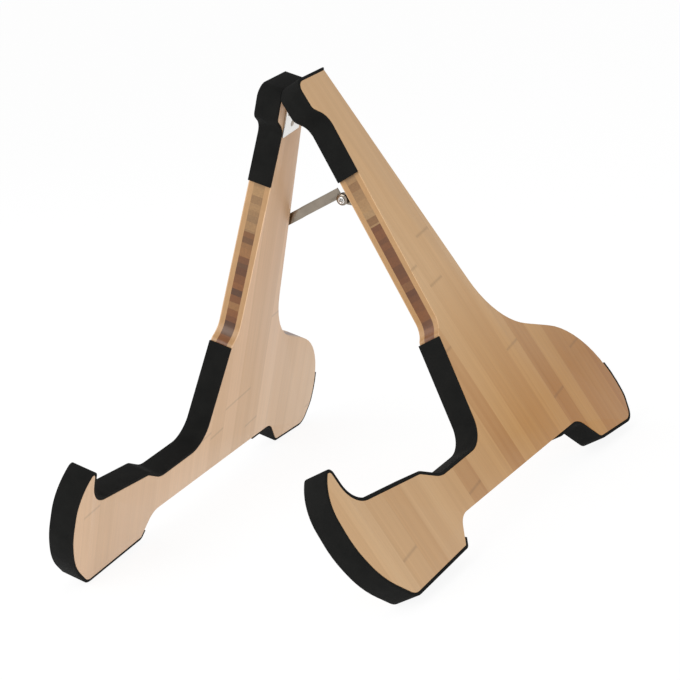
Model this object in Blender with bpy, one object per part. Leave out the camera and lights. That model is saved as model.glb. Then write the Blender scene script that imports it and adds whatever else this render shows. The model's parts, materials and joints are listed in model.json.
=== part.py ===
"""Folding guitar stand: two shaped boards hinged at the top, padded edges and a folding metal stay.

Lengths are in metres. Each board is drawn in its own side view: "down" runs down the board from the line
where the planes of the two inner faces meet, and "back" runs along the hinge axis from the front of the foot.
"""
import math
from collections import namedtuple

import bmesh
import bpy
from mathutils import Vector

Corner = namedtuple("Corner", "down back radius")

LEFT = -1
RIGHT = 1
SIDE_NAMES = {LEFT: "left", RIGHT: "right"}

# Open stand
OPEN_HALF_ANGLE = math.radians(23.7)
BOARD_THICKNESS = 0.016
CLEARANCE = 0.0003
STOP_CLEARANCE = 0.00015

# Side outline of a board, from the top rear corner down the front edge and back up the rear edge
TOP_REAR = Corner(down=-0.0010, back=0.2290, radius=0.0005)
TOP_FRONT = Corner(down=-0.0030, back=0.1960, radius=0.0060)
HEAD_FRONT = Corner(down=0.0145, back=0.1950, radius=0.0040)
NECK = Corner(down=0.0235, back=0.2050, radius=0.0125)
LEG_FOOT = Corner(down=0.1650, back=0.1835, radius=0.0135)
BACK_REST_TOP = Corner(down=0.1695, back=0.1760, radius=0.0045)
SEAT = Corner(down=0.2365, back=0.1535, radius=0.0195)
BUMP_REAR = Corner(down=0.2300, back=0.0985, radius=0.0210)
BUMP_FRONT = Corner(down=0.2190, back=0.0825, radius=0.0085)
HOOK_INSIDE = Corner(down=0.2025, back=0.0175, radius=0.0185)
HOOK_TIP = Corner(down=0.1775, back=0.0175, radius=0.0020)
ARM_FRONT_TOP = Corner(down=0.1885, back=0.0020, radius=0.0300)
ARM_FRONT = Corner(down=0.2180, back=-0.0005, radius=0.0560)
ARM_FRONT_BOTTOM = Corner(down=0.2410, back=0.0045, radius=0.0530)
TOE = Corner(down=0.2620, back=0.0205, radius=0.0090)
HEEL = Corner(down=0.2680, back=0.0820, radius=0.0015)
HEEL_NOTCH = Corner(down=0.2545, back=0.0940, radius=0.0120)
ARCH_REAR = Corner(down=0.2770, back=0.2575, radius=0.0160)
REAR_TOE = Corner(down=0.2980, back=0.2710, radius=0.0065)
REAR_HEEL = Corner(down=0.3075, back=0.3165, radius=0.0085)
REAR_HEEL_TOP = Corner(down=0.2940, back=0.3245, radius=0.0150)
SHOULDER = Corner(down=0.2430, back=0.3325, radius=0.0690)
WAIST = Corner(down=0.1910, back=0.2395, radius=0.0590)

OUTLINE = (
    TOP_REAR, TOP_FRONT, HEAD_FRONT, NECK, LEG_FOOT, BACK_REST_TOP, SEAT, BUMP_REAR, BUMP_FRONT,
    HOOK_INSIDE, HOOK_TIP, ARM_FRONT_TOP, ARM_FRONT, ARM_FRONT_BOTTOM, TOE, HEEL, HEEL_NOTCH,
    ARCH_REAR, REAR_TOE, REAR_HEEL, REAR_HEEL_TOP, SHOULDER, WAIST,
)
ARC_STEP = math.radians(6.0)

# Edge pads, with each end measured along the edge from the middle of a corner
PAD_THICKNESS = 0.0017
UPPER_PAD_BELOW_NECK = 0.0380
CRADLE_PAD_BELOW_REST_TOP = 0.0015
FRONT_FOOT_PAD_PAST_HEEL = 0.0050
REAR_FOOT_PAD_BEFORE_ARCH_REAR = 0.0270
REAR_FOOT_PAD_PAST_HEEL_TOP = 0.0260

# Hinge
LEAF_THICKNESS = 0.0010
LEAF_LENGTH = 0.0230
LEAF_WIDTH = 0.0205
LEAF_REAR_MARGIN = 0.0050
KNUCKLE_COUNT = 5
KNUCKLE_RADIUS = 0.0020
PIN_RADIUS = 0.0008
PIN_HEAD_RADIUS = 0.0014
PIN_HEAD_LENGTH = 0.0006

# Countersunk screws of the leaves
HINGE_SCREW_HEAD_RADIUS = 0.0021
HINGE_SCREW_RADIUS = 0.0012
HINGE_SCREW_LENGTH = 0.0100
HINGE_SCREW_POINT = 0.0020
HINGE_SCREW_UPPER_DOWN = 0.0070
HINGE_SCREW_LOWER_DOWN = 0.0162
HINGE_SCREW_SPACING = 0.0120

# Folding stay
STAY_PIVOT_DOWN = 0.1074
STAY_RIVET_DOWN = 0.0810
LINK_WIDTH = 0.0066
LINK_THICKNESS = 0.0012
LINK_LIFT = 0.0048
LINK_END_OVERHANG = 0.0006
LINK_BEND_START = 0.0190
LINK_BEND_LENGTH = 0.0022
SPACER_RADIUS = 0.0040
SPACER_THICKNESS = 0.0020
STAY_SCREW_RADIUS = 0.0015
STAY_SCREW_DEPTH = 0.0140
STAY_SCREW_POINT = 0.0025
STAY_SCREW_HEAD_RADIUS = 0.0032
STAY_SCREW_HEAD_HEIGHT = 0.0018
RIVET_RADIUS = 0.0016
RIVET_BORE_RADIUS = 0.0011
RIVET_FLANGE_RADIUS = 0.0025
RIVET_FLANGE_THICKNESS = 0.0006
RIVET_WASHER_RADIUS = 0.0039
RIVET_WASHER_THICKNESS = 0.0008

# Facets of small round pieces
ROUND_STEPS = 24

# Sizes that follow from the ones above
PAD_OUTSIDE = CLEARANCE + PAD_THICKNESS
PIN_TO_FACE = KNUCKLE_RADIUS + CLEARANCE
PIN_DOWN = PIN_TO_FACE / math.tan(OPEN_HALF_ANGLE)
APEX_TO_PIN = PIN_TO_FACE / math.sin(OPEN_HALF_ANGLE)
HINGE_BACK = TOP_REAR.back - LEAF_REAR_MARGIN - LEAF_WIDTH / 2
LINK_STEP = LINK_THICKNESS + CLEARANCE


def clear_scene():
    for old in list(bpy.data.objects):
        bpy.data.objects.remove(old, do_unlink=True)


def make_material(name, colour, roughness, metallic=0.0):
    material = bpy.data.materials.new(name)
    material.use_nodes = True
    shader = material.node_tree.nodes["Principled BSDF"]
    shader.inputs["Base Color"].default_value = (*colour, 1.0)
    shader.inputs["Roughness"].default_value = roughness
    shader.inputs["Metallic"].default_value = metallic
    return material


def make_empty(name, parent=None, location=(0.0, 0.0, 0.0), rotation=(0.0, 0.0, 0.0)):
    empty = bpy.data.objects.new(name, None)
    bpy.context.scene.collection.objects.link(empty)
    empty.parent = parent
    empty.location = location
    empty.rotation_euler = rotation
    return empty


def make_object(name, mesh_data, parent, material, location=(0.0, 0.0, 0.0)):
    """Turn a bmesh into a named object under its frame."""
    bmesh.ops.remove_doubles(mesh_data, verts=mesh_data.verts, dist=1e-7)
    bmesh.ops.recalc_face_normals(mesh_data, faces=mesh_data.faces)
    mesh = bpy.data.meshes.new(name)
    mesh_data.to_mesh(mesh)
    mesh_data.free()
    piece = bpy.data.objects.new(name, mesh)
    bpy.context.scene.collection.objects.link(piece)
    piece.parent = parent
    piece.location = location
    if material is not None:
        mesh.materials.append(material)
    mesh.shade_smooth()
    mesh.set_sharp_from_angle(angle=math.radians(30.0))
    return piece


def make_cutter(name, mesh_data, parent):
    cutter = make_object(name, mesh_data, parent, None)
    cutter.hide_render = True
    cutter.display_type = "WIRE"
    return cutter


def cut(piece, cutter, operation="DIFFERENCE"):
    modifier = piece.modifiers.new(cutter.name, "BOOLEAN")
    modifier.operation = operation
    modifier.solver = "EXACT"
    modifier.object = cutter


# Flat shapes and turned shapes

def prism(mesh_data, points, place, near, far):
    """Extrude a closed flat outline from one depth to another; place maps (a, b, depth) to space."""
    near_ring = [mesh_data.verts.new(place(a, b, near)) for a, b in points]
    far_ring = [mesh_data.verts.new(place(a, b, far)) for a, b in points]
    mesh_data.faces.new(near_ring)
    mesh_data.faces.new(list(reversed(far_ring)))
    count = len(points)
    for i in range(count):
        j = (i + 1) % count
        mesh_data.faces.new((near_ring[j], near_ring[i], far_ring[i], far_ring[j]))


def turned(mesh_data, profile, origin, axis, closed_ring=False):
    """Turn a profile of (radius, distance along the axis) about an axis through the origin."""
    axis = Vector(axis).normalized()
    across = axis.orthogonal().normalized()
    other = axis.cross(across)
    rings = []
    for radius, along in profile:
        centre = Vector(origin) + axis * along
        if radius == 0.0:
            rings.append([mesh_data.verts.new(centre)])
            continue
        ring = []
        for i in range(ROUND_STEPS):
            angle = 2.0 * math.pi * i / ROUND_STEPS
            ring.append(mesh_data.verts.new(
                centre + across * (radius * math.cos(angle)) + other * (radius * math.sin(angle))))
        rings.append(ring)
    pairs = list(zip(rings, rings[1:]))
    if closed_ring:
        pairs.append((rings[-1], rings[0]))
    for first, second in pairs:
        for i in range(ROUND_STEPS):
            j = (i + 1) % ROUND_STEPS
            quad = [first[i % len(first)], first[j % len(first)],
                    second[j % len(second)], second[i % len(second)]]
            mesh_data.faces.new(list(dict.fromkeys(quad)))
    if not closed_ring:
        for ring in (rings[0], rings[-1]):
            if len(ring) > 2:
                mesh_data.faces.new(ring)


def arc(centre, radius, start, end):
    """Points from one angle to another about a centre in a flat outline."""
    steps = max(2, math.ceil(abs(end - start) / (2.0 * ARC_STEP)))
    return [
        (centre[0] + radius * math.cos(start + (end - start) * i / steps),
         centre[1] + radius * math.sin(start + (end - start) * i / steps))
        for i in range(steps + 1)
    ]


# Board outline

OutlinePoint = namedtuple("OutlinePoint", "place normal along")


def side_view(corner):
    """A corner's place in the closed side view: rearwards from the hinge's middle and up from the pin."""
    return Vector((corner.back - HINGE_BACK, PIN_DOWN - corner.down))


def rounded_outline():
    """Walk round the board and return its points with outward normals, and where each corner's middle is."""
    points = []
    middles = {}
    count = len(OUTLINE)
    for i, corner in enumerate(OUTLINE):
        here = side_view(corner)
        arriving = (here - side_view(OUTLINE[i - 1])).normalized()
        leaving = (side_view(OUTLINE[(i + 1) % count]) - here).normalized()
        turn = math.atan2(arriving.x * leaving.y - arriving.y * leaving.x, arriving.dot(leaving))
        tangent_length = corner.radius * math.tan(abs(turn) / 2.0)
        start = here - arriving * tangent_length
        start_normal = Vector((arriving.y, -arriving.x))
        bend = 1.0 if turn > 0.0 else -1.0
        centre = start - start_normal * corner.radius * bend
        steps = 2 * max(1, math.ceil(abs(turn) / (2.0 * ARC_STEP)))
        for step in range(steps + 1):
            angle = turn * step / steps
            normal = Vector((start_normal.x * math.cos(angle) - start_normal.y * math.sin(angle),
                             start_normal.x * math.sin(angle) + start_normal.y * math.cos(angle)))
            place = centre + normal * corner.radius * bend
            along = 0.0
            if points:
                along = points[-1].along + (place - points[-1].place).length
            points.append(OutlinePoint(place, normal, along))
            if step == steps // 2:
                middles[corner] = along
    return points, middles


BOARD_POINTS, CORNER_MIDDLES = rounded_outline()


def blend_points(first, second, share):
    place = first.place.lerp(second.place, share)
    normal = first.normal.lerp(second.normal, share).normalized()
    return OutlinePoint(place, normal, first.along + (second.along - first.along) * share)


def stretch(start, end):
    """The outline's points between two distances along it, with a point made at each end."""
    points = []
    for first, second in zip(BOARD_POINTS, BOARD_POINTS[1:]):
        length = second.along - first.along
        if first.along < start < second.along:
            points.append(blend_points(first, second, (start - first.along) / length))
        if start <= second.along <= end:
            points.append(second)
        if first.along < end < second.along:
            points.append(blend_points(first, second, (end - first.along) / length))
    return points


PAD_STRETCHES = {
    "upper_pad": stretch(
        CORNER_MIDDLES[TOP_REAR],
        CORNER_MIDDLES[NECK] + UPPER_PAD_BELOW_NECK),
    "cradle_pad": stretch(
        CORNER_MIDDLES[BACK_REST_TOP] + CRADLE_PAD_BELOW_REST_TOP,
        CORNER_MIDDLES[HEEL] + FRONT_FOOT_PAD_PAST_HEEL),
    "rear_foot_pad": stretch(
        CORNER_MIDDLES[ARCH_REAR] - REAR_FOOT_PAD_BEFORE_ARCH_REAR,
        CORNER_MIDDLES[REAR_HEEL_TOP] + REAR_FOOT_PAD_PAST_HEEL_TOP),
}


def offset_line(points, distance):
    return [point.place + point.normal * distance for point in points]


# Stance on the floor

def open_height(place):
    """Height above the pin, before the stand is tilted, of the inner face's edge when the board is open."""
    return PIN_TO_FACE * math.sin(OPEN_HALF_ANGLE) + place.y * math.cos(OPEN_HALF_ANGLE)


def stance():
    """The tilt at which the front and the rear pads both touch the floor, and the pin's place above it."""
    front = offset_line(PAD_STRETCHES["cradle_pad"], PAD_OUTSIDE)
    rear = offset_line(PAD_STRETCHES["rear_foot_pad"], PAD_OUTSIDE)
    tilt = 0.0
    for _ in range(12):
        def height(place):
            return place.x * math.sin(tilt) + open_height(place) * math.cos(tilt)
        toe = min(front, key=height)
        heel = min(rear, key=height)
        tilt = math.atan2(open_height(toe) - open_height(heel), heel.x - toe.x)
    floor = toe.x * math.sin(tilt) + open_height(toe) * math.cos(tilt)
    lean = BOARD_THICKNESS * math.sin(OPEN_HALF_ANGLE)
    reach = [place.x * math.cos(tilt) - (open_height(place) + rise) * math.sin(tilt)
             for place in front + rear for rise in (0.0, lean)]
    return tilt, Vector((0.0, -(min(reach) + max(reach)) / 2.0, -floor))


TILT, PIN_PLACE = stance()


# Boards and pads

def board_place(side):
    def place(rearwards, up, outwards):
        return Vector((side * (PIN_TO_FACE + outwards), rearwards, up))
    return place


def mitre(mesh_data, side):
    """Cut the top ends square to each other, so that the open boards stop face to face."""
    normal = Vector((side * math.cos(OPEN_HALF_ANGLE), 0.0, -math.sin(OPEN_HALF_ANGLE)))
    everything = list(mesh_data.verts) + list(mesh_data.edges) + list(mesh_data.faces)
    bmesh.ops.bisect_plane(mesh_data, geom=everything, dist=1e-8, plane_co=normal * STOP_CLEARANCE,
                           plane_no=normal, clear_inner=True)
    open_edges = [edge for edge in mesh_data.edges if edge.is_boundary]
    bmesh.ops.edgeloop_fill(mesh_data, edges=open_edges)


def make_board(side, frame, material):
    mesh_data = bmesh.new()
    outline = [tuple(point.place) for point in BOARD_POINTS]
    prism(mesh_data, outline, board_place(side), 0.0, BOARD_THICKNESS)
    mitre(mesh_data, side)
    return make_object(SIDE_NAMES[side] + "_panel", mesh_data, frame, material)


def make_pads(side, frame, material):
    for name, points in PAD_STRETCHES.items():
        mesh_data = bmesh.new()
        outside = offset_line(points, PAD_OUTSIDE)
        inside = offset_line(points, CLEARANCE)
        outline = [tuple(place) for place in outside + inside[::-1]]
        prism(mesh_data, outline, board_place(side), 0.0, BOARD_THICKNESS)
        if name == "upper_pad":
            mitre(mesh_data, side)
        make_object(SIDE_NAMES[side] + "_" + name, mesh_data, frame, material)


# Hinge

def hinge_screw_places(side):
    """Centres of the leaf's screw heads, on the leaf's bare face."""
    face = side * (PIN_TO_FACE - CLEARANCE - LEAF_THICKNESS)
    half = HINGE_SCREW_SPACING / 2.0
    return [
        Vector((face, -half, -HINGE_SCREW_UPPER_DOWN)),
        Vector((face, half, -HINGE_SCREW_UPPER_DOWN)),
        Vector((face, 0.0, -HINGE_SCREW_LOWER_DOWN)),
    ]


def hinge_screw_profile(spare=0.0):
    head = HINGE_SCREW_HEAD_RADIUS + spare
    shank = HINGE_SCREW_RADIUS + spare
    return [
        (0.0, -spare),
        (head, -spare),
        (head, 0.0),
        (shank, LEAF_THICKNESS),
        (shank, HINGE_SCREW_LENGTH - HINGE_SCREW_POINT),
        (0.0, HINGE_SCREW_LENGTH + spare),
    ]


def make_hinge_screws(side, frame, material):
    """The leaf's screws, each its own piece, and one cutter with room for them all."""
    holes = bmesh.new()
    for number, centre in enumerate(hinge_screw_places(side), start=1):
        screw = bmesh.new()
        turned(screw, hinge_screw_profile()[2:], centre, (side, 0.0, 0.0))
        turned(holes, hinge_screw_profile(CLEARANCE), centre, (side, 0.0, 0.0))
        make_object(f"hinge_screw_{SIDE_NAMES[side]}_{number}", screw, frame, material)
    return make_cutter("hinge_screw_holes_" + SIDE_NAMES[side], holes, frame)


def knuckle_spans(side):
    """Where this leaf's knuckles lie along the pin: the left leaf has the odd ones, the right the even."""
    pitch = LEAF_WIDTH / KNUCKLE_COUNT
    first = 0 if side == LEFT else 1
    return [(-LEAF_WIDTH / 2.0 + pitch * i, -LEAF_WIDTH / 2.0 + pitch * (i + 1))
            for i in range(first, KNUCKLE_COUNT, 2)]


def make_leaf(side, frame, material, screw_holes):
    name = "hinge_leaf_" + SIDE_NAMES[side]
    axis = (0.0, 1.0, 0.0)
    half = LEAF_WIDTH / 2.0
    outer = KNUCKLE_RADIUS
    inner = KNUCKLE_RADIUS - LEAF_THICKNESS
    plate = bmesh.new()
    corners = [(inner, 0.0), (outer, 0.0), (outer, -LEAF_LENGTH), (inner, -LEAF_LENGTH)]
    prism(plate, corners, lambda a, b, depth: Vector((side * a, depth, b)), -half, half)
    leaf = make_object(name, plate, frame, material)

    barrel = bmesh.new()
    turned(barrel, [(KNUCKLE_RADIUS, -half), (KNUCKLE_RADIUS, half)], (0.0, 0.0, 0.0), axis)
    cut(leaf, make_cutter(name + "_barrel", barrel, frame), "UNION")

    room = bmesh.new()
    for start, end in knuckle_spans(-side):
        start -= CLEARANCE / 2.0
        end += CLEARANCE / 2.0
        if start < -half:
            start = -half - CLEARANCE
        if end > half:
            end = half + CLEARANCE
        radius = KNUCKLE_RADIUS + CLEARANCE
        turned(room, [(radius, start), (radius, end)], (0.0, 0.0, 0.0), axis)
    cut(leaf, make_cutter(name + "_room", room, frame))

    bore = bmesh.new()
    radius = PIN_RADIUS + CLEARANCE
    turned(bore, [(radius, -half - CLEARANCE), (radius, half + CLEARANCE)], (0.0, 0.0, 0.0), axis)
    cut(leaf, make_cutter(name + "_bore", bore, frame))
    cut(leaf, screw_holes)


def make_pin(frame, material):
    shoulder = LEAF_WIDTH / 2.0 + CLEARANCE
    end = shoulder + PIN_HEAD_LENGTH
    profile = [
        (PIN_HEAD_RADIUS * 0.7, -end),
        (PIN_HEAD_RADIUS, -shoulder - PIN_HEAD_LENGTH / 2.0),
        (PIN_HEAD_RADIUS, -shoulder),
        (PIN_RADIUS, -shoulder),
        (PIN_RADIUS, shoulder),
        (PIN_HEAD_RADIUS, shoulder),
        (PIN_HEAD_RADIUS, shoulder + PIN_HEAD_LENGTH / 2.0),
        (PIN_HEAD_RADIUS * 0.7, end),
    ]
    mesh_data = bmesh.new()
    turned(mesh_data, profile, (0.0, 0.0, 0.0), (0.0, 1.0, 0.0))
    make_object("hinge_pin", mesh_data, frame, material)


# Stay

def rear_edge_slope():
    return (WAIST.back - TOP_REAR.back) / (WAIST.down - TOP_REAR.down)


def rear_edge_at_pivot():
    """How far rearwards of the hinge's middle the board's rear edge lies at the stay's screw."""
    back = TOP_REAR.back + rear_edge_slope() * (STAY_PIVOT_DOWN - TOP_REAR.down)
    return back - HINGE_BACK


def pivot_in_stand():
    """The right-hand stay pivot in the upright stand frame: sideways and up from the pin."""
    down = STAY_PIVOT_DOWN - PIN_DOWN
    out = PIN_TO_FACE + BOARD_THICKNESS / 2.0
    sine = math.sin(OPEN_HALF_ANGLE)
    cosine = math.cos(OPEN_HALF_ANGLE)
    return Vector((down * sine + out * cosine, out * sine - down * cosine))


SPACER_BACK = rear_edge_at_pivot() + CLEARANCE + SPACER_RADIUS * rear_edge_slope()
LINK_BACK = SPACER_BACK + SPACER_THICKNESS + CLEARANCE
SCREW_HEAD_BACK = LINK_BACK + LINK_THICKNESS + CLEARANCE
PIVOT = pivot_in_stand()
RIVET_UP = APEX_TO_PIN - STAY_RIVET_DOWN
LINK_LENGTH = math.hypot(PIVOT.x, RIVET_UP - PIVOT.y)
LINK_ANGLE = math.atan2(RIVET_UP - PIVOT.y, PIVOT.x)
LINK_LAYER = {LEFT: 1, RIGHT: 2}


def link_front(side):
    """Where the front face of a link's middle part lies, in its own layer behind the boards."""
    return LINK_BACK + LINK_LAYER[side] * LINK_STEP


def bar_outline():
    """The plain link: round at both ends, centred on its two pivots."""
    half = LINK_WIDTH / 2.0
    return arc((0.0, 0.0), half, math.pi / 2.0, 3.0 * math.pi / 2.0) + arc(
        (LINK_LENGTH, 0.0), half, -math.pi / 2.0, math.pi / 2.0)


def hooked_outline():
    """The hooked link: its bar runs above the rivet to a square end, and a round lobe takes the rivet."""
    half = LINK_WIDTH / 2.0
    slope = math.atan2(LINK_LIFT, LINK_LENGTH)
    along = Vector((math.cos(slope), math.sin(slope)))
    across = Vector((-along.y, along.x))
    end = along * (math.hypot(LINK_LENGTH, LINK_LIFT) + LINK_END_OVERHANG)
    rivet = Vector((LINK_LENGTH, 0.0))
    lobe = RIVET_WASHER_RADIUS
    below = (rivet - across * across.dot(rivet) - along * along.dot(rivet)) + rivet
    drop = across.dot(below) + half
    reach = math.sqrt(lobe * lobe - drop * drop)
    lobe_start = math.atan2(-drop, -reach) + slope
    past = along.dot(end - rivet)
    rise = math.sqrt(lobe * lobe - past * past)
    lobe_end = math.atan2(rise, past) + slope
    outline = arc((0.0, 0.0), half, slope + math.pi / 2.0, slope + 3.0 * math.pi / 2.0)
    outline += arc(tuple(rivet), lobe, lobe_start, lobe_end)
    outline.append(tuple(end + across * half))
    return outline


def make_link(side, frame, material, outline):
    """Extrude a link and bend its middle part back by its layer's step."""
    step = LINK_LAYER[side] * LINK_STEP
    mesh_data = bmesh.new()
    prism(mesh_data, outline, lambda a, b, depth: Vector((-side * a, depth, b)), 0.0, LINK_THICKNESS)
    for distance in (LINK_BEND_START, LINK_BEND_START + LINK_BEND_LENGTH):
        everything = list(mesh_data.verts) + list(mesh_data.edges) + list(mesh_data.faces)
        bmesh.ops.bisect_plane(mesh_data, geom=everything, dist=1e-8,
                               plane_co=(-side * distance, 0.0, 0.0), plane_no=(1.0, 0.0, 0.0))
    for vertex in mesh_data.verts:
        share = (abs(vertex.co.x) - LINK_BEND_START) / LINK_BEND_LENGTH
        vertex.co.y += step * min(1.0, max(0.0, share)) if vertex.co.x * side < 0.0 else 0.0
    link = make_object("stay_link_" + SIDE_NAMES[side], mesh_data, frame, material)
    holes = bmesh.new()
    reach = (LINK_LAYER[RIGHT] + 2) * LINK_STEP
    screw_hole = STAY_SCREW_RADIUS + CLEARANCE
    rivet_hole = RIVET_RADIUS + CLEARANCE
    rivet = (-side * LINK_LENGTH, 0.0, 0.0)
    turned(holes, [(screw_hole, -reach), (screw_hole, reach)], (0.0, 0.0, 0.0), (0.0, 1.0, 0.0))
    turned(holes, [(rivet_hole, -reach), (rivet_hole, reach)], rivet, (0.0, 1.0, 0.0))
    cut(link, make_cutter("stay_link_holes_" + SIDE_NAMES[side], holes, frame))


def make_rivet_half(side, frame, name, material, washer_name, washer_material):
    """One flanged half of the hollow rivet and the washer under it, on the link of that side.

    The front half faces forwards on the left link, and the rear half rearwards on the right link.
    """
    facing = side
    link_near = link_front(side) - LINK_BACK
    link_far = link_near + LINK_THICKNESS
    seat = link_near if facing == LEFT else link_far
    through = LINK_THICKNESS
    rivet = Vector((-side * LINK_LENGTH, seat, 0.0))
    axis = (0.0, float(facing), 0.0)
    washer = bmesh.new()
    washer_bore = RIVET_RADIUS + CLEARANCE
    washer_top = CLEARANCE + RIVET_WASHER_THICKNESS
    washer_profile = [
        (washer_bore, CLEARANCE),
        (RIVET_WASHER_RADIUS, CLEARANCE),
        (RIVET_WASHER_RADIUS, CLEARANCE + RIVET_WASHER_THICKNESS / 2.0),
        (RIVET_FLANGE_RADIUS + CLEARANCE, washer_top),
        (washer_bore, washer_top),
    ]
    turned(washer, washer_profile, rivet, axis, closed_ring=True)
    make_object(washer_name, washer, frame, washer_material)

    rivet_half = bmesh.new()
    flange_seat = washer_top + CLEARANCE
    flange_top = flange_seat + RIVET_FLANGE_THICKNESS
    middle = (RIVET_FLANGE_RADIUS + RIVET_BORE_RADIUS) / 2.0
    rivet_profile = [
        (RIVET_BORE_RADIUS, -through),
        (RIVET_RADIUS, -through),
        (RIVET_RADIUS, flange_seat),
        (RIVET_FLANGE_RADIUS, flange_seat),
        (RIVET_FLANGE_RADIUS, flange_seat + RIVET_FLANGE_THICKNESS / 2.0),
        (middle, flange_top),
        (RIVET_BORE_RADIUS, flange_seat),
    ]
    turned(rivet_half, rivet_profile, rivet, axis, closed_ring=True)
    make_object(name, rivet_half, frame, material)


def stay_mount_place(side):
    """The stay screw's axis in the closed side frame, at the height of the wood's rear edge."""
    return Vector((side * (PIN_TO_FACE + BOARD_THICKNESS / 2.0), 0.0, PIN_DOWN - STAY_PIVOT_DOWN))


def stay_screw_profile(spare=0.0):
    """The pan-head screw from its point to its head, along the hinge axis from the hinge's middle."""
    tip = rear_edge_at_pivot() - STAY_SCREW_DEPTH
    head = STAY_SCREW_HEAD_RADIUS
    top = SCREW_HEAD_BACK + STAY_SCREW_HEAD_HEIGHT
    return [
        (0.0, tip - spare),
        (STAY_SCREW_RADIUS + spare, tip + STAY_SCREW_POINT),
        (STAY_SCREW_RADIUS + spare, SCREW_HEAD_BACK),
        (head, SCREW_HEAD_BACK),
        (head * 0.97, SCREW_HEAD_BACK + STAY_SCREW_HEAD_HEIGHT * 0.35),
        (head * 0.80, SCREW_HEAD_BACK + STAY_SCREW_HEAD_HEIGHT * 0.75),
        (head * 0.50, top),
    ]


def make_stay_mount(side, frame, board, screw_material, spacer_material):
    """The screw in the board's rear edge and the spacer washer that holds the link off the wood."""
    place = stay_mount_place(side)
    axis = (0.0, 1.0, 0.0)
    screw = bmesh.new()
    turned(screw, stay_screw_profile(), place, axis)
    make_object("stay_screw_" + SIDE_NAMES[side], screw, frame, screw_material)
    hole = bmesh.new()
    turned(hole, stay_screw_profile(CLEARANCE)[:3], place, axis)
    cut(board, make_cutter("stay_screw_hole_" + SIDE_NAMES[side], hole, frame))
    spacer = bmesh.new()
    bore = STAY_SCREW_RADIUS + CLEARANCE
    spacer_profile = [
        (bore, SPACER_BACK),
        (SPACER_RADIUS, SPACER_BACK),
        (SPACER_RADIUS, SPACER_BACK + SPACER_THICKNESS),
        (bore, SPACER_BACK + SPACER_THICKNESS),
    ]
    turned(spacer, spacer_profile, place, axis, closed_ring=True)
    make_object("stay_spacer_" + SIDE_NAMES[side], spacer, frame, spacer_material)


def main():
    clear_scene()
    bamboo = make_material("bamboo", (0.62, 0.43, 0.25), 0.45)
    pad = make_material("black_foam", (0.013, 0.013, 0.012), 0.95)
    nickel = make_material("bright_nickel", (0.78, 0.77, 0.74), 0.25, 1.0)
    steel = make_material("polished_steel", (0.45, 0.44, 0.42), 0.22, 1.0)
    screw_steel = make_material("screw_steel", (0.55, 0.54, 0.52), 0.35, 1.0)

    stand = make_empty("stand_frame", None, PIN_PLACE, (TILT, 0.0, 0.0))
    for side in (LEFT, RIGHT):
        label = SIDE_NAMES[side]
        board_frame = make_empty(label + "_side", stand, rotation=(0.0, -side * OPEN_HALF_ANGLE, 0.0))
        board = make_board(side, board_frame, bamboo)
        make_pads(side, board_frame, pad)
        screw_holes = make_hinge_screws(side, board_frame, screw_steel)
        cut(board, screw_holes)
        make_leaf(side, board_frame, nickel, screw_holes)
        make_stay_mount(side, board_frame, board, screw_steel, steel)

        pivot = (side * PIVOT.x, LINK_BACK, PIVOT.y)
        link_frame = make_empty(label + "_link", stand, pivot, (0.0, side * LINK_ANGLE, 0.0))
        outline = hooked_outline() if side == LEFT else bar_outline()
        make_link(side, link_frame, steel, outline)
        if side == LEFT:
            names = ("stay_rivet_head", "stay_rivet_washer_front")
        else:
            names = ("stay_rivet_tail", "stay_rivet_washer_rear")
        make_rivet_half(side, link_frame, names[0], nickel, names[1], steel)
        if side == LEFT:
            make_pin(board_frame, steel)


main()
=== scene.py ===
import json
import math

import bmesh
import bpy
from mathutils import Matrix, Vector


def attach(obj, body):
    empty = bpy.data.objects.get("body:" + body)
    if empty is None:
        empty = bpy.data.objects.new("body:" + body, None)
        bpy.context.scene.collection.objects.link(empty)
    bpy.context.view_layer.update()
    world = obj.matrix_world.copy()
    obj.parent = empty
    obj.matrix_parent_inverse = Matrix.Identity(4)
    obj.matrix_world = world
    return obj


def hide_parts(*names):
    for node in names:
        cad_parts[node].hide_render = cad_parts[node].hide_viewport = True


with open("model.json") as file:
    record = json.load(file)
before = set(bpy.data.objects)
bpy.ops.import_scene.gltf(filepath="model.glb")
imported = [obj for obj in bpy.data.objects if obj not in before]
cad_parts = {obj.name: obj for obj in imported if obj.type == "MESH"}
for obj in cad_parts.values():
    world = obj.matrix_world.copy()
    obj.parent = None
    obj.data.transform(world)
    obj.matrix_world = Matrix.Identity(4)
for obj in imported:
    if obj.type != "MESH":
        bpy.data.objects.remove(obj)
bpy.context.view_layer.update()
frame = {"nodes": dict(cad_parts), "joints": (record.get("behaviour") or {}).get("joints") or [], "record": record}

# Boards, as the CAD sets them: each has its own upright frame, which starts at the hinge pin
OPEN_HALF_ANGLE = math.radians(23.7)
FACE_FROM_PIN = 0.0023
BOARD_THICKNESS = 0.016
MIDDLE_FROM_PIN = FACE_FROM_PIN + BOARD_THICKNESS / 2
CORE_HALF = BOARD_THICKNESS / 4
HINGE = next(joint for joint in frame["joints"] if joint["name"] == "fold_hinge")
PIN_PLACE = Vector(HINGE["pos_m"])
HINGE_AXIS = Vector(HINGE["axis"]).normalized()
STAND_TILT = math.atan2(HINGE_AXIS.z, HINGE_AXIS.y)
SIDES = {"left": -1, "right": 1}

# Which body each CAD node belongs to
BODY_OF = {node: body for body, nodes in frame["record"]["behaviour"]["bodies"].items() for node in nodes}

# How far each finish eases the sharp edges of its pieces
BOARD_EDGE = 0.0005
FOAM_EDGE = 0.0004
METAL_EDGE = 0.00012

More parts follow.
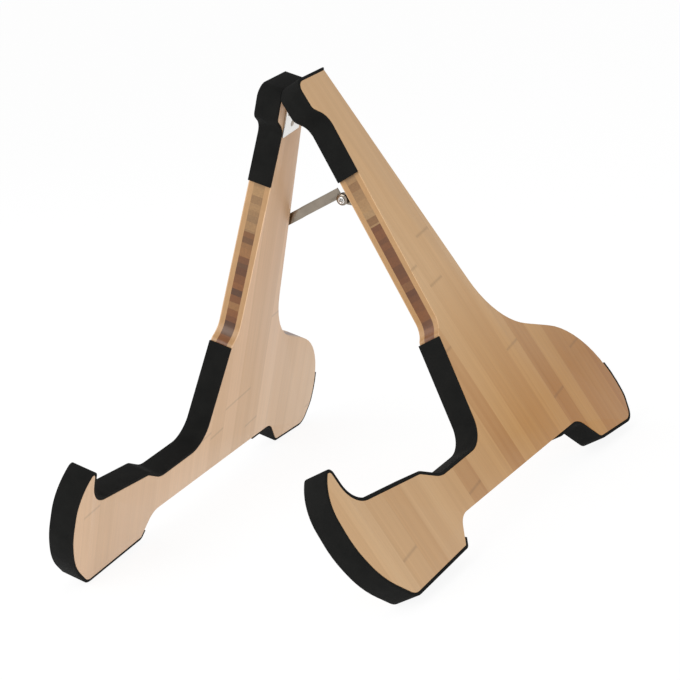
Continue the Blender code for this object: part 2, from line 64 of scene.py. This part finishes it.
# Camera, as fitted to the photograph
CAMERA_PLACE = Vector((0.5431, -0.8929, 0.3688))
CAMERA_AZIMUTH = math.radians(30.60)
CAMERA_ELEVATION = math.radians(13.94)
CAMERA_ROLL = math.radians(-8.98)
CAMERA_LENS_MM = 90.6
SENSOR_WIDTH_MM = 36.0

# Lamps, with places and sizes in metres and power in watts
LAMP_TARGET = (0.0, 0.0, 0.12)
LAMPS = {
    "key_lamp": {"place": (-0.4, -1.7, 1.1), "size": 1.4, "power": 18.5},
    "left_lamp": {"place": (-1.6, -0.3, 1.0), "size": 1.2, "power": 7.5},
    "right_lamp": {"place": (1.4, -0.3, 0.40), "size": 0.8, "power": 3.4},
}
WHITE = (1.0, 1.0, 1.0, 1.0)
WORLD_STRENGTH = 0.66

# Floor, whose glow has one share for all rays and a higher one for those of the camera and of gloss
FLOOR_SIZE = 40.0
FLOOR_GREY = 0.86
FLOOR_ROUGHNESS = 0.9
FLOOR_GLOW = 0.62
FLOOR_SEEN_GLOW = 0.86
FLOOR_SEEN_BOOST = 0.05


# Shader helpers

class Shader:
    """Adds nodes to one material in plain calls."""

    def __init__(self, name):
        self.material = bpy.data.materials.new(name)
        self.material.use_nodes = True
        self.tree = self.material.node_tree
        self.principled = self.tree.nodes["Principled BSDF"]

    def node(self, kind, **settings):
        made = self.tree.nodes.new(kind)
        for key, value in settings.items():
            setattr(made, key, value)
        return made

    def link(self, output, target):
        self.tree.links.new(output, target)

    def feed(self, socket, value):
        """Links a socket, or sets a plain value."""
        if isinstance(value, bpy.types.NodeSocket):
            self.link(value, socket)
        else:
            socket.default_value = value

    def math(self, operation, first, second=0.0, third=0.0, clamp=False):
        made = self.node("ShaderNodeMath", operation=operation, use_clamp=clamp)
        for socket, value in zip(made.inputs, (first, second, third)):
            self.feed(socket, value)
        return made.outputs[0]

    def rising(self, value, start, slope, clamp=False):
        """A number that is start where the value is zero, and rises with it."""
        return self.math("MULTIPLY_ADD", value, slope, start, clamp)

    def mix(self, share, first, second):
        made = self.node("ShaderNodeMix", data_type="RGBA")
        self.feed(made.inputs[0], share)
        for socket, colour in ((made.inputs[6], first), (made.inputs[7], second)):
            is_linked = isinstance(colour, bpy.types.NodeSocket)
            self.feed(socket, colour if is_linked else (*colour, 1.0))
        return made.outputs[2]

    def multiply(self, first, factor):
        """Brightens or darkens a colour by a factor."""
        made = self.node("ShaderNodeVectorMath", operation="SCALE")
        self.feed(made.inputs[0], first)
        self.feed(made.inputs["Scale"], factor)
        return made.outputs[0]

    def ramp(self, share, stops):
        made = self.node("ShaderNodeValToRGB")
        elements = made.color_ramp.elements
        while len(elements) < len(stops):
            elements.new(0.5)
        for element, (place, colour) in zip(elements, stops):
            element.position = place
            element.color = (*colour, 1.0)
        self.feed(made.inputs[0], share)
        return made.outputs[0]

    def noise(self, vector, scale=1.0, detail=3.0, roughness=0.5):
        made = self.node("ShaderNodeTexNoise")
        self.feed(made.inputs["Vector"], vector)
        made.inputs["Scale"].default_value = scale
        made.inputs["Detail"].default_value = detail
        made.inputs["Roughness"].default_value = roughness
        return made.outputs[0]

    def random(self, value):
        made = self.node("ShaderNodeTexWhiteNoise", noise_dimensions="1D")
        self.feed(made.inputs["W"], value)
        return made.outputs[0]

    def stretched(self, vector, scale):
        made = self.node("ShaderNodeMapping")
        self.feed(made.inputs["Vector"], vector)
        made.inputs["Scale"].default_value = scale
        return made.outputs[0]

    def bump(self, height, strength, distance):
        made = self.node("ShaderNodeBump")
        made.inputs["Strength"].default_value = strength
        made.inputs["Distance"].default_value = distance
        self.feed(made.inputs["Height"], height)
        self.link(made.outputs[0], self.principled.inputs["Normal"])

    def surface(self, **values):
        """Sets the surface's own sockets, each named with _ for a space."""
        for name, value in values.items():
            self.feed(self.principled.inputs[name.replace("_", " ")], value)


# Bamboo: lengths in metres, and grain in features per metre across, rearwards and along the board

STRIP_WIDTH = 0.0170
STRIP_SHARE = 0.75
STREAK_SHARE = 0.75
TONE_BELOW = 0.30
OUTER_FACE_SEED = 57.0
BOARD_SEED = {"left": 3.0, "right": 11.0}

# Half a glue line, as a share of the strip's width, and half a node's mark, as a share of the spacing
GLUE_LINE = 0.010
NODE_MARK = 0.006
NODE_SPACING = 0.235
NODE_SEED = 0.37

# Keeps every place along the board above zero where the spacing of the nodes divides it
NODE_START = 2.0

FIBRE_GRAIN = (900.0, 900.0, 14.0)
STREAK_GRAIN = (160.0, 160.0, 3.0)
BLOCK_GRAIN = (700.0, 300.0, 900.0)

# The low tones' share: at the pin, and its change for each metre up or rearwards
LOW_AT_PIN = -1.20
LOW_PER_METRE_UP = -9.0
HEEL_AT_PIN = 1.05
HEEL_PER_METRE_REARWARDS = 6.0

# Each board's tones. Both boards are one bamboo: the left board's paler tones are painted light and the right
# board's darker tones are painted shade, over the bamboo's own strip tones and its warmer tone low towards the
# heel.
BAMBOO_TONES_AND_SIDE_LIGHT = {
    "left": {"pale": (0.73, 0.485, 0.30), "warm": (0.60, 0.385, 0.215),
             "low_pale": (0.73, 0.495, 0.30), "low_warm": (0.61, 0.385, 0.20)},
    "right": {"pale": (0.60, 0.385, 0.200), "warm": (0.50, 0.285, 0.125),
              "low_pale": (0.50, 0.255, 0.070), "low_warm": (0.33, 0.120, 0.012)},
}

CORE_BLOCK = 0.0046
BLOCK_SEED = 97.0
DARK_BLOCKS_BELOW = 0.090
PALE_BLOCKS = [
    (0.0, (0.20, 0.095, 0.032)), (0.3, (0.34, 0.195, 0.080)), (0.6, (0.24, 0.13, 0.052)),
    (0.8, (0.40, 0.25, 0.115)), (1.0, (0.13, 0.055, 0.017))]
DARK_BLOCKS = [
    (0.0, (0.085, 0.026, 0.006)), (0.25, (0.190, 0.066, 0.014)), (0.5, (0.120, 0.037, 0.008)),
    (0.75, (0.30, 0.14, 0.043)), (1.0, (0.055, 0.016, 0.004))]

# Sawn edges of the outer plies, from just behind the eased edge of the face
EDGE_PLY = (0.40, 0.215, 0.080)
EDGE_SHARE = 0.85
EDGE_BEHIND_FACE = 0.0006


def side_rotation(side):
    """Turns a board's closed upright frame to where the open stand holds it."""
    tilt = Matrix.Rotation(STAND_TILT, 3, "X")
    return tilt @ Matrix.Rotation(-SIDES[side] * OPEN_HALF_ANGLE, 3, "Y")


def board_coordinates(shader, side):
    """The board's own frame: its vector, then how far across, rearwards and up from the pin."""
    coords = shader.node("ShaderNodeTexCoord")
    to_board = shader.node("ShaderNodeMapping", vector_type="TEXTURE")
    shader.link(coords.outputs["Object"], to_board.inputs["Vector"])
    to_board.inputs["Location"].default_value = PIN_PLACE
    to_board.inputs["Rotation"].default_value = side_rotation(side).to_euler("XYZ")
    parts = shader.node("ShaderNodeSeparateXYZ")
    shader.link(to_board.outputs[0], parts.inputs[0])
    return to_board.outputs[0], *parts.outputs


def node_marks(shader, strip_seed, up):
    """Where the bamboo's nodes cross a strip, at a place of each strip's own."""
    shift = shader.math("MULTIPLY", shader.random(shader.math("ADD", strip_seed, NODE_SEED)), NODE_SPACING)
    place = shader.math("ADD", shader.math("ADD", up, shift), NODE_START)
    phase = shader.math("FRACT", shader.math("DIVIDE", place, NODE_SPACING))
    gap = shader.math("ABSOLUTE", shader.math("SUBTRACT", phase, 0.5))
    return shader.math("SUBTRACT", 1.0, shader.math("DIVIDE", gap, NODE_MARK), clamp=True)


def glue_lines(shader, strip_place):
    """Where two strips meet, from their place counted in strips."""
    gap = shader.math("ABSOLUTE", shader.math("SUBTRACT", shader.math("FRACT", strip_place), 0.5))
    past = shader.math("SUBTRACT", gap, 0.5 - GLUE_LINE)
    return shader.math("MULTIPLY", past, 1.0 / GLUE_LINE, clamp=True)


def strip_tone(shader, side, board, strip_seed, rearwards, up):
    """Each strip's own tone with streaks along it, warmer low on the board towards the heel, from its board's
    tones, where the left board is paler as painted light and the right board darker as painted shade.
    """
    low = shader.math(
        "MULTIPLY",
        shader.rising(up, LOW_AT_PIN, LOW_PER_METRE_UP, clamp=True),
        shader.rising(rearwards, HEEL_AT_PIN, HEEL_PER_METRE_REARWARDS, clamp=True))
    tones = BAMBOO_TONES_AND_SIDE_LIGHT[side]
    pale = shader.mix(low, tones["pale"], tones["low_pale"])
    warm = shader.mix(low, tones["warm"], tones["low_warm"])
    streaks = shader.noise(shader.stretched(board, STREAK_GRAIN), roughness=0.55)
    own = shader.random(strip_seed)
    tone = shader.math("MULTIPLY_ADD", own, STRIP_SHARE, shader.math("MULTIPLY", streaks, STREAK_SHARE))
    return shader.mix(shader.math("SUBTRACT", tone, TONE_BELOW, clamp=True), pale, warm)


def strip_face(shader, side, board, across, rearwards, up, fibre_shade):
    """A face of long strips, whose inner and outer sides differ."""
    strip_place = shader.math("DIVIDE", rearwards, STRIP_WIDTH)
    strip = shader.math("FLOOR", strip_place)
    is_outer = shader.math("GREATER_THAN", shader.math("ABSOLUTE", across), MIDDLE_FROM_PIN)
    face_strip = shader.math("MULTIPLY_ADD", is_outer, OUTER_FACE_SEED, strip)
    strip_seed = shader.math("ADD", face_strip, BOARD_SEED[side])
    mark_shade = shader.rising(node_marks(shader, strip_seed, up), 1.0, -0.22)
    line_shade = shader.rising(glue_lines(shader, strip_place), 1.0, -0.10)
    shade = shader.math("MULTIPLY", shader.math("MULTIPLY", fibre_shade, mark_shade), line_shade)
    return shader.multiply(strip_tone(shader, side, board, strip_seed, rearwards, up), shade)


def core_blocks(shader, side, board, up):
    """End-grain blocks of the core ply, of uneven length, pale above and dark below."""
    blocks = shader.node("ShaderNodeTexVoronoi", voronoi_dimensions="1D")
    shader.feed(blocks.inputs["W"], shader.math("ADD", up, BOARD_SEED[side]))
    blocks.inputs["Scale"].default_value = 1.0 / CORE_BLOCK
    block_tone = shader.random(shader.math("MULTIPLY", blocks.outputs["Color"], BLOCK_SEED))
    is_dark = shader.math("LESS_THAN", up, -DARK_BLOCKS_BELOW)
    core = shader.mix(is_dark, shader.ramp(block_tone, PALE_BLOCKS), shader.ramp(block_tone, DARK_BLOCKS))
    grain = shader.noise(shader.stretched(board, BLOCK_GRAIN))
    return shader.multiply(core, shader.rising(grain, 0.75, 0.5))


def bamboo(side):
    """Three plies of lacquered bamboo: faces of strips, sawn edges, and a core of end-grain blocks."""
    shader = Shader("bamboo_" + side)
    board, across, rearwards, up = board_coordinates(shader, side)
    fibres = shader.noise(shader.stretched(board, FIBRE_GRAIN), detail=4.0, roughness=0.6)
    fibre_shade = shader.rising(fibres, 0.87, 0.26)
    face = strip_face(shader, side, board, across, rearwards, up, fibre_shade)
    edge = shader.multiply(shader.mix(EDGE_SHARE, face, EDGE_PLY), fibre_shade)

    from_middle = shader.math("ABSOLUTE", shader.math(
        "SUBTRACT", shader.math("ABSOLUTE", across), MIDDLE_FROM_PIN))
    in_core = shader.math("LESS_THAN", from_middle, CORE_HALF)
    on_edge = shader.math("LESS_THAN", from_middle, BOARD_THICKNESS / 2 - EDGE_BEHIND_FACE)
    outer_plies = shader.mix(on_edge, face, edge)
    shader.surface(
        Base_Color=shader.mix(in_core, outer_plies, core_blocks(shader, side, board, up)),
        Roughness=shader.rising(fibres, 0.32, 0.16),
        Coat_Weight=0.15,
        Coat_Roughness=0.28)
    shader.bump(fibres, strength=0.25, distance=0.0002)
    return shader.material


# Foam and metal

FOAM_SHADES = [(0.3, (0.0050, 0.0052, 0.0050)), (0.7, (0.0115, 0.0115, 0.0105))]
DRAWN_GRAIN = (60.0, 900.0, 900.0)
BRIGHT_NODES = ("hinge_leaf", "stay_rivet_head", "stay_rivet_tail")


def foam():
    """Matt black cellular rubber, with fine pores and a slightly paler bloom."""
    shader = Shader("black_foam")
    coords = shader.node("ShaderNodeTexCoord").outputs["Object"]
    pores = shader.noise(coords, 2600.0, roughness=0.7)
    bloom = shader.noise(coords, 90.0, detail=4.0, roughness=0.6)
    shade = shader.math("ADD", shader.math("MULTIPLY", pores, 0.5), shader.math("MULTIPLY", bloom, 0.5))
    shader.surface(
        Base_Color=shader.ramp(shade, FOAM_SHADES),
        Roughness=0.92,
        Specular_IOR_Level=0.12)
    shader.bump(pores, strength=0.5, distance=0.0003)
    return shader.material


def metal(name, colour, roughness, wear):
    """Plated steel with faint drawn lines and small variation in gloss."""
    shader = Shader(name)
    coords = shader.node("ShaderNodeTexCoord").outputs["Object"]
    drawn = shader.noise(shader.stretched(coords, DRAWN_GRAIN))
    cloud = shader.noise(coords, 140.0)
    worn = tuple(channel * (1.0 - wear) for channel in colour)
    shader.surface(
        Base_Color=shader.mix(cloud, worn, colour),
        Metallic=1.0,
        Roughness=shader.rising(drawn, roughness, 0.18))
    shader.bump(drawn, strength=0.06, distance=0.0001)
    return shader.material


# Pieces made from the CAD solids

MERGE_DISTANCE = 1e-6
FLAT_WITHIN = math.radians(0.3)
SHARP_ANGLE = math.radians(25.0)
EASED_ANGLE = math.radians(35.0)


def merged_mesh(node, name):
    """A copy of a node's loose triangles as one mesh of flat faces."""
    shape = bmesh.new()
    shape.from_mesh(frame["nodes"][node].data)
    bmesh.ops.remove_doubles(shape, verts=shape.verts, dist=MERGE_DISTANCE)
    bmesh.ops.dissolve_limit(shape, angle_limit=FLAT_WITHIN, verts=shape.verts, edges=shape.edges)
    mesh = bpy.data.meshes.new(name)
    shape.to_mesh(mesh)
    shape.free()
    return mesh


def finished_copy(node, name, edge_radius):
    """A node's shape with eased edges and smooth round stretches."""
    piece = bpy.data.objects.new(name, merged_mesh(node, name))
    bpy.context.scene.collection.objects.link(piece)
    bevel = piece.modifiers.new("eased_edges", "BEVEL")
    bevel.width = edge_radius
    bevel.segments = 3
    bevel.limit_method = "ANGLE"
    bevel.angle_limit = EASED_ANGLE
    baked = bpy.data.meshes.new_from_object(
        piece.evaluated_get(bpy.context.evaluated_depsgraph_get()))
    piece.modifiers.clear()
    piece.data = baked
    baked.shade_smooth()
    baked.set_sharp_from_angle(angle=SHARP_ANGLE)
    return piece


def dress(node, name, material, edge_radius):
    """Puts a finished piece in a node's place, on the same body."""
    piece = finished_copy(node, name, edge_radius)
    piece.data.materials.clear()
    piece.data.materials.append(material)
    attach(piece, BODY_OF[node])
    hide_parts(node)
    return piece


def dress_boards_and_pads():
    rubber = foam()
    for side in SIDES:
        dress(side + "_panel", side + "_board", bamboo(side), BOARD_EDGE)
        for pad in ("upper_pad", "cradle_pad", "rear_foot_pad"):
            piece = dress(f"{side}_{pad}", f"{side}_{pad}_foam", rubber, FOAM_EDGE)


def dress_metal():
    nickel = metal("bright_nickel", (0.80, 0.79, 0.77), roughness=0.16, wear=0.12)
    # The steel's warm brown tint is a painted reflection of the bamboo boards.
    steel = metal("polished_steel", (0.34, 0.29, 0.235), roughness=0.08, wear=0.35)
    for node in BODY_OF:
        if node.endswith(("_panel", "_pad")):
            continue
        slot, finish = ("bright_plate", nickel) if node.startswith(BRIGHT_NODES) else ("steel", steel)
        dress(node, node + "_metal", finish, METAL_EDGE)


# Studio

def studio_white():
    """Pale floor that is white to the camera and in gloss, and still takes the stand's shadow."""
    shader = Shader("studio_white")
    shader.surface(Base_Color=(FLOOR_GREY, FLOOR_GREY, FLOOR_GREY, 1.0), Roughness=FLOOR_ROUGHNESS)
    path = shader.node("ShaderNodeLightPath")
    seen = shader.math("MAXIMUM", path.outputs["Is Camera Ray"], path.outputs["Is Glossy Ray"])
    glow = shader.node("ShaderNodeEmission")
    shader.feed(glow.inputs["Color"], WHITE)
    shader.feed(glow.inputs["Strength"], shader.rising(seen, 1.0, FLOOR_SEEN_BOOST))
    blend = shader.node("ShaderNodeMixShader")
    shader.feed(blend.inputs[0], shader.rising(seen, FLOOR_GLOW, FLOOR_SEEN_GLOW - FLOOR_GLOW))
    shader.link(shader.principled.outputs[0], blend.inputs[1])
    shader.link(glow.outputs[0], blend.inputs[2])
    output = next(node for node in shader.tree.nodes if node.type == "OUTPUT_MATERIAL")
    shader.link(blend.outputs[0], output.inputs["Surface"])
    return shader.material


def make_floor():
    bpy.ops.mesh.primitive_plane_add(size=FLOOR_SIZE)
    floor = bpy.context.object
    floor.name = "studio_floor"
    floor.data.materials.append(studio_white())


def make_world():
    world = bpy.data.worlds.new("studio_world")
    bpy.context.scene.world = world
    world.use_nodes = True
    background = world.node_tree.nodes["Background"]
    background.inputs["Color"].default_value = WHITE
    background.inputs["Strength"].default_value = WORLD_STRENGTH


def make_lamp(name, place, size, power):
    data = bpy.data.lights.new(name, "AREA")
    data.size = size
    data.energy = power
    lamp = bpy.data.objects.new(name, data)
    bpy.context.scene.collection.objects.link(lamp)
    lamp.location = place
    lamp.rotation_euler = (Vector(place) - Vector(LAMP_TARGET)).to_track_quat("Z", "Y").to_euler()


def make_camera():
    data = bpy.data.cameras.new("photo_camera")
    data.lens = CAMERA_LENS_MM
    data.sensor_width = SENSOR_WIDTH_MM
    data.sensor_fit = "HORIZONTAL"
    data.clip_end = 100.0
    camera = bpy.data.objects.new("photo_camera", data)
    bpy.context.scene.collection.objects.link(camera)
    camera.location = CAMERA_PLACE
    turn = Matrix.Rotation(CAMERA_AZIMUTH, 3, "Z")
    turn = turn @ Matrix.Rotation(math.radians(90.0) - CAMERA_ELEVATION, 3, "X")
    camera.rotation_euler = (turn @ Matrix.Rotation(CAMERA_ROLL, 3, "Z")).to_euler()
    bpy.context.scene.camera = camera


make_camera()
dress_boards_and_pads()
dress_metal()
make_floor()
make_world()
for lamp_name, lamp_facts in LAMPS.items():
    make_lamp(lamp_name, **lamp_facts)
bpy.context.scene.view_settings.view_transform = "Standard"
